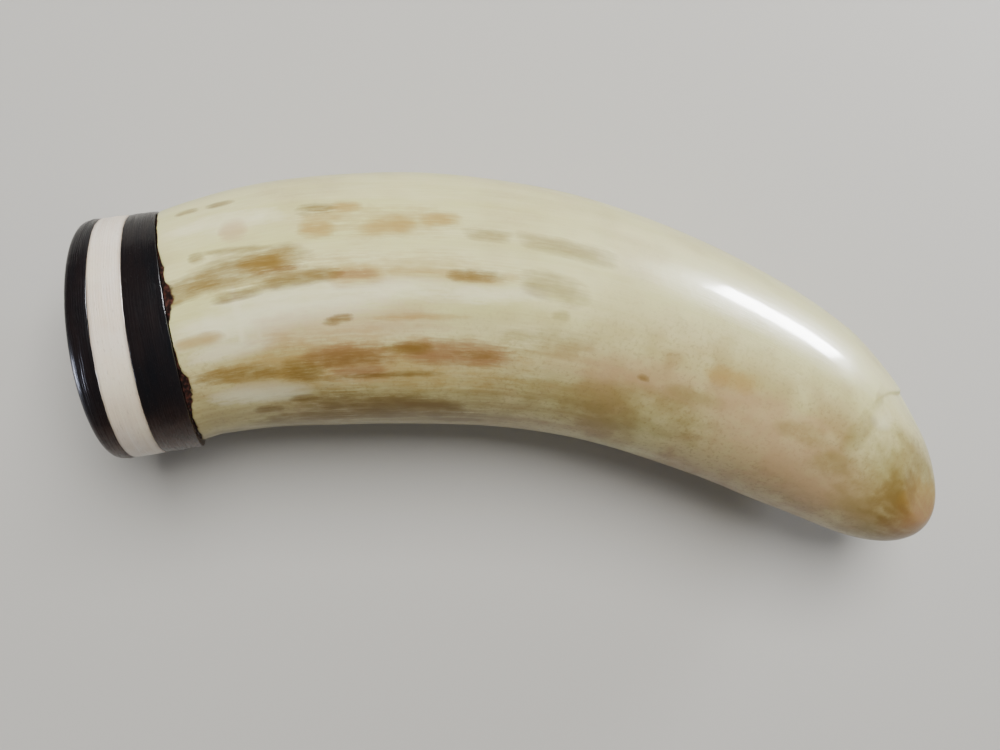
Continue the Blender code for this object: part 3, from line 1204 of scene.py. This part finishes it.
    def tan_shade_and_grain_marks(self, spots: Spots) -> dict[str, np.ndarray]:
        """Where the ivory is tan, with painted shade on the lower flank, blushes pink and shows its root
        grain.

        The lower flank and the tip are tan with a drifting edge, and the hidden side is half so. On the
        lower flank the tan is partly the ivory's own and partly painted shade, for the side turned from the
        light.
        Every mark ends underneath as it begins there, so that it closes round the tooth.

        Args:
            spots: where the points lie.

        Returns:
            The marks at each point, 0 to 1, by attribute name.
        """
        shares, degrees = spots.shares, spots.degrees
        drift = spots.cloud(14, 12, 31) * 0.16 + spots.cloud(50, 60, 32) * 0.08
        # The lower flank's tan is partly real and partly painted shade: it darkens the side turned away
        # from the light.
        edge = 80.0 - 34.0 * ease(shares, 0.3, 0.70)
        full = 126.0 - 12.0 * ease(shares, 0.3, 0.70)
        flank = ease((degrees - edge) / (full - edge), 0.0, 1.0) * (0.74 + 0.10 * ease(shares, 0.2, 0.6))
        tip = ease(shares, 0.76, 0.91) * ease(degrees, 15.0, 75.0) * 0.92
        hidden = (1.0 - ease(degrees, -40.0, 15.0)) * 0.45
        turned_under = ease(degrees, 185.0, 265.0)
        flank = flank + (0.45 - flank) * turned_under
        tip = tip * (1.0 - turned_under)
        age = np.clip(np.maximum(np.maximum(flank, tip), hidden) + drift, 0.0, 1.0)
        blush = ease(shares, 0.50, 0.70) * ease(degrees, 85.0, 115.0) * (1.0 - turned_under)
        blush = np.clip(blush * 0.6 + drift * 0.8, 0.0, 1.0)
        grain = (1.0 - ease(shares, 0.30, 0.62)) * np.clip(0.75 + drift, 0.0, 1.0)
        return {"age": age, "blush": blush, "root_grain": grain}

    def build(self, finish: IvoryFinish, shop: Workshop) -> bpy.types.Object:
        """Makes the tooth's fine skin: the plain one, pressed at the facet and raised by the relief.

        Args:
            finish: the ivory.
            shop: the shared node groups.

        Returns:
            The new piece.
        """
        spots = self.grid()
        points = self.worn_facet(self.surface(spots), spots.shares)
        chip = self.chip_mark(spots)
        height = self.relief(spots, chip)
        # The ring at the seam doesn't swell over the glue line.
        height[0] = np.minimum(height[0], 0.0)
        points = points + self.outward(points) * height[..., None]
        # Nothing goes under the level that the piece lies on.
        points[..., 2] = np.maximum(points[..., 2], 0.0)
        half_width, half_depth, _, _ = self.sections(spots.shares)
        straight = oval_bar(spots.shares * self.length, half_width, half_depth, spots.turns)
        end = np.array([1.0])
        heading = self.sections(end)[3][0]
        ahead = np.array([math.cos(heading), math.sin(heading), 0.0])
        tip = self.line(end)[0] + ahead * (self.fullness + self.tip_fullness)
        ends = np.stack([points[0].mean(axis=0), tip])
        marks = {"chip": chip, **self.stain_marks(spots), **self.tan_shade_and_grain_marks(spots)}
        piece = skin("tooth_skin", points, straight, ends, marks)
        dress(piece, finish.material(shop), "tooth")
        return piece


@dataclass
class BaseDisc:
    """One turned disc of the base, between two flat seams.

    Lengths are metres along the base's axis, 0 at its seam with the tooth and growing toward the tip.

    Attributes:
        node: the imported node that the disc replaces.
        slot: the record's material slot.
        back: where its outer face is.
        back_seam: that face's slant.
        front: where its face toward the tooth is.
        front_seam: that face's slant.
        rim: radius that its back edge is rounded to.
        groove: depth of the turning lines in its wall.
        seed: which way its hand-made edge wanders.
        width: its full width.
        height: its full height.
        edge: radius that its front edge is rounded to.
        groove_pitch: distance from one turning line to the next.
        wander: depth of its wall's unevenness.
        bow: how far its wall swells in the middle.
        slack: how far its wall stays inside the full width.
        edge_wander: unevenness of its edges along the axis.
        wall_reach: how far in from the wall all of these fade out.
        grime_reach: how far from its edges the glue's grime shows.
        sides: points round it.
        wall_rings: rings across its wall.
        cap_rings: rings on each face.
        cap_reach: how far in from the rounding the rings on its faces go, as a share of half the width.
        bend_rings: rings round its back edge.
        edge_rings: rings round its front edge.
    """

    node: str
    slot: str
    back: float
    back_seam: Seam
    front: float
    front_seam: Seam
    rim: float = 0.00015
    groove: float = 0.000008
    seed: int = 0
    width: float = 0.0414
    height: float = 0.0396
    edge: float = 0.00012
    groove_pitch: float = 0.00042
    wander: float = 0.00005
    bow: float = 0.00008
    slack: float = 0.00008
    edge_wander: float = 0.00004
    wall_reach: float = 0.0006
    grime_reach: float = 0.00022
    sides: int = 288
    wall_rings: int = 60
    cap_rings: int = 13
    cap_reach: float = 0.99
    bend_rings: int = 12
    edge_rings: int = 4

    def profile(self) -> tuple[np.ndarray, np.ndarray, np.ndarray]:
        """The section from the middle of the back face, over the wall, to the middle of the front face.

        Known faults: the innermost insets are more than half the height, and on the outer disc's back more
        than half the width too. Those rings run past the middle, so the flat faces fold over there, in a
        patch 4.1 by 4.0 mm on that back and 3.3 by 1.7 mm on the glued faces. Low on the outer disc the two
        roundings together are more than its thickness, so its wall runs back by up to 0.13 mm there.

        Returns:
            Inset from the wall, place from back to front, and a shift forward, for each ring.
        """
        caps = self.cap_rings
        cap = np.linspace(self.cap_reach, 0.0, caps + 1) * self.width / 2 + self.rim
        bend = np.linspace(0.0, math.pi / 2, self.bend_rings)
        wall = np.linspace(0.0, 1.0, self.wall_rings)
        front_bend = np.linspace(0.0, math.pi / 2, self.edge_rings + 1)[1:]
        front_cap = np.linspace(0.0, self.cap_reach, caps + 1)[1:] * self.width / 2
        inset = np.concatenate([cap[:-1], self.rim * (1.0 - np.sin(bend)), np.zeros(self.wall_rings)[1:],
                                self.edge * (1.0 - np.cos(front_bend)), front_cap + self.edge])
        place = np.concatenate([np.zeros(caps + len(bend)), wall[1:], np.ones(len(front_bend) + caps)])
        ahead = np.concatenate([np.zeros(caps), self.rim * (1.0 - np.cos(bend)),
                                (self.rim * (1.0 - wall) - self.edge * wall)[1:],
                                self.edge * (np.sin(front_bend) - 1.0), np.zeros(caps)])
        return inset, place, ahead

    def build(self, material: bpy.types.Material) -> bpy.types.Object:
        """Makes the disc's fine skin.

        Each ring lies between the two seams' planes by its place, and its wall has turned grooves:
        a sine along the axis times their depth.

        Args:
            material: its finish.

        Returns:
            The new piece.
        """
        inset, place, ahead = (values[:, None] for values in self.profile())
        turns = angles_round(self.sides)[None, :]
        thickness = self.front - self.back
        wall = np.clip(1.0 - inset / self.wall_reach, 0.0, 1.0)
        lathe = np.sin(2.0 * math.pi * place * thickness / self.groove_pitch) * self.groove
        wander = Spots(place * 0.5 + 0.1, turns + place).cloud(6, 14, self.seed + 50) * self.wander
        out = wall * (lathe + wander + self.bow * np.sin(math.pi * place) - self.slack)
        side = (self.width / 2 - inset + out) * np.cos(turns)
        up = (self.height / 2 - inset + out) * np.sin(turns)
        back = self.back + self.back_seam.offset(side, up)
        front = self.front + self.front_seam.offset(side, up)
        rough_edge = Spots(np.full_like(place, 0.5), turns).cloud(2, 90, self.seed + 60) * self.edge_wander
        along = back + (front - back) * place + ahead + rough_edge * wall
        points = base_point(along, side, up)
        points[..., 2] = np.maximum(points[..., 2], 0.0)
        radius = self.width / 2 - inset
        straight = oval_bar(along - inset, radius, radius, turns)
        ends = np.stack([points[0].mean(axis=0), points[-1].mean(axis=0)])
        degrees = np.degrees(turns)
        # Painted light: this mask marks the lower side, where the horn is painted reddish brown as if lit
        # through.
        lower = ease(degrees, 118.0, 165.0) * (1.0 - ease(degrees, 215.0, 260.0))
        near_edge = np.minimum(place, 1.0 - place) * thickness
        marks = {"lower_side_glow": np.broadcast_to(lower, along.shape),
                 "grime": np.broadcast_to(bell(near_edge, 0.0, self.grime_reach), along.shape)}
        piece = skin(self.node + "_skin", points, straight, ends, marks)
        dress(piece, material, self.node)
        return piece


@dataclass
class Base:
    """The glued stack of three discs that caps the root.

    Attributes:
        inner_thickness: the dark disc next to the tooth.
        pale_thickness: the pale disc.
        outer_thickness: the dark disc at the end.
        glue_gap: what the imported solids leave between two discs.
        glue_line: what shows of it.
        tooth_gap: how far the first disc stays off its seam with the tooth.
        rim: radius of the end's rounded rim.
    """

    inner_thickness: float = 0.0051
    pale_thickness: float = 0.0047
    outer_thickness: float = 0.0024
    glue_gap: float = 0.0003
    glue_line: float = 0.00006
    tooth_gap: float = 0.00003
    rim: float = 0.0013

    def discs(self) -> list[BaseDisc]:
        """The three discs from the tooth outwards, each grown into the glue gap but for a fine line.

        Returns:
            The discs.
        """
        grow = (self.glue_gap - self.glue_line) / 2
        inner_back = -self.inner_thickness
        pale_front = inner_back - self.glue_gap
        pale_back = pale_front - self.pale_thickness
        outer_front = pale_back - self.glue_gap
        outer_back = outer_front - self.outer_thickness
        return [
            BaseDisc("inner_dark_disc", "dark_horn", inner_back - grow, INNER_SEAM,
                     -self.tooth_gap, TOOTH_SEAM, seed=1),
            BaseDisc("pale_disc", "pale_bone", pale_back - grow, OUTER_SEAM,
                     pale_front + grow, INNER_SEAM, groove=0.000010, seed=2),
            BaseDisc("outer_dark_disc", "dark_horn", outer_back, END_SEAM,
                     outer_front + grow, OUTER_SEAM, rim=self.rim, groove=0.000014, seed=3),
        ]

    def build(self, horn: HornFinish, bone: BoneFinish, shop: Workshop) -> list[bpy.types.Object]:
        """Makes the three discs in horn, bone and horn, and gives them in that order."""
        finishes = {"dark_horn": horn.material(shop), "pale_bone": bone.material(shop)}
        return [disc.build(finishes[disc.slot]) for disc in self.discs()]


@dataclass(frozen=True)
class Softbox:
    """A rectangular light that looks at the tooth.

    Attributes:
        name: the light's name.
        azimuth: its direction from +X toward +Y, in degrees.
        elevation: its height over the horizon, in degrees.
        distance: how far off it is, in metres.
        size: its width and height, in metres.
        power: its power, in watts.
        colour: its colour.
        mirrored: whether it is there for its reflection, and not for the light that it sheds.
    """

    name: str
    azimuth: float
    elevation: float
    distance: float
    size: tuple[float, float]
    power: float
    colour: Colour
    mirrored: bool

    def hang(self, aim: Place) -> None:
        """Makes the light.

        Args:
            aim: the place that it looks at.
        """
        light = bpy.data.lights.new(self.name, "AREA")
        light.shape = "RECTANGLE"
        light.size, light.size_y = self.size
        light.energy = self.power
        light.color = self.colour
        lamp = bpy.data.objects.new(self.name, light)
        lamp.visible_glossy = self.mirrored
        lamp.visible_diffuse = not self.mirrored
        bpy.context.scene.collection.objects.link(lamp)
        a = math.radians(self.azimuth)
        e = math.radians(self.elevation)
        toward = Vector((math.cos(a) * math.cos(e), math.sin(a) * math.cos(e), math.sin(e)))
        lamp.location = Vector(aim) + toward * self.distance
        lamp.rotation_euler = toward.to_track_quat("Z", "Y").to_euler()


@dataclass
class Studio:
    """A pale floor, soft lights and the camera above the tooth.

    Turn and tilt are degrees, places and distances metres, the lens and sensor millimetres.
    """

    camera_place: Place = (-0.036367, 0.006259, 0.201093)
    camera_turn: float = 9.3
    camera_tilt: float = -2.5
    lens: float = 36.0
    sensor: float = 36.0
    nearest: float = 0.01
    aim: Place = (0.0, 0.0, 0.02)
    floor_reach: float = 3.0
    floor_depth: float = 0.0002
    floor_colour: Colour = (0.52, 0.51, 0.49)
    floor_roughness: float = 0.9
    air_colour: Colour = (1.0, 0.97, 0.93)
    air_glow: float = 0.16
    softboxes: tuple[Softbox, ...] = (
        Softbox("key_softbox", 85.0, 62.0, 0.9, (0.6, 0.6), 14.2, (1.0, 0.99, 0.95), False),
        Softbox("strip_softbox", 36.0, 15.0, 0.55, (0.17, 0.12), 29.0, (0.95, 0.96, 1.0), True),
        Softbox("side_softbox", 202.0, 11.0, 0.55, (0.12, 0.08), 4.5, (0.75, 0.80, 1.0), True),
    )

    def floor(self) -> None:
        """Lays a wide pale floor just under the tooth."""
        mesh = bpy.data.meshes.new("floor")
        r = self.floor_reach
        corners = [(-r, -r, 0.0), (r, -r, 0.0), (r, r, 0.0), (-r, r, 0.0)]
        mesh.from_pydata(corners, [], [(0, 1, 2, 3)])
        mesh.transform(Matrix.Translation((0.0, 0.0, -self.floor_depth)))
        material = bpy.data.materials.new("pale_floor")
        material.use_nodes = True
        shader = material.node_tree.nodes["Principled BSDF"]
        shader.inputs["Base Color"].default_value = (*self.floor_colour, 1.0)
        shader.inputs["Roughness"].default_value = self.floor_roughness
        mesh.materials.append(material)
        floor = bpy.data.objects.new("floor", mesh)
        bpy.context.scene.collection.objects.link(floor)

    def air(self) -> None:
        """Sets the air's plain glow."""
        world = bpy.data.worlds.new("studio")
        world.use_nodes = True
        glow = world.node_tree.nodes["Background"]
        glow.inputs["Color"].default_value = (*self.air_colour, 1.0)
        glow.inputs["Strength"].default_value = self.air_glow
        bpy.context.scene.world = world

    def camera(self) -> None:
        """Sets the camera nearly straight above the tooth, turned a little toward the tip."""
        data = bpy.data.cameras.new("camera")
        data.sensor_width = self.sensor
        data.lens = self.lens
        data.clip_start = self.nearest
        camera = bpy.data.objects.new("camera", data)
        bpy.context.scene.collection.objects.link(camera)
        turn = Matrix.Rotation(math.radians(-self.camera_turn), 4, "Y")
        tilt = Matrix.Rotation(math.radians(self.camera_tilt), 4, "X")
        camera.matrix_world = Matrix.Translation(self.camera_place) @ turn @ tilt
        bpy.context.scene.camera = camera

    def build(self) -> None:
        """Sets up the floor, the lights, the air and the camera."""
        self.floor()
        for softbox in self.softboxes:
            softbox.hang(self.aim)
        self.air()
        self.camera()
        LOG.info("studio ready")


def main() -> None:
    """Builds the tooth, its base and the studio, in that order."""
    logging.basicConfig(level=logging.INFO, format="%(name)s: %(message)s")
    LOG.info("frame has %d nodes", len(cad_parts))
    shop = Workshop()
    Tooth().build(IvoryFinish(), shop)
    Base().build(HornFinish(), BoneFinish(), shop)
    Studio().build()


if __name__ == "__main__":
    main()
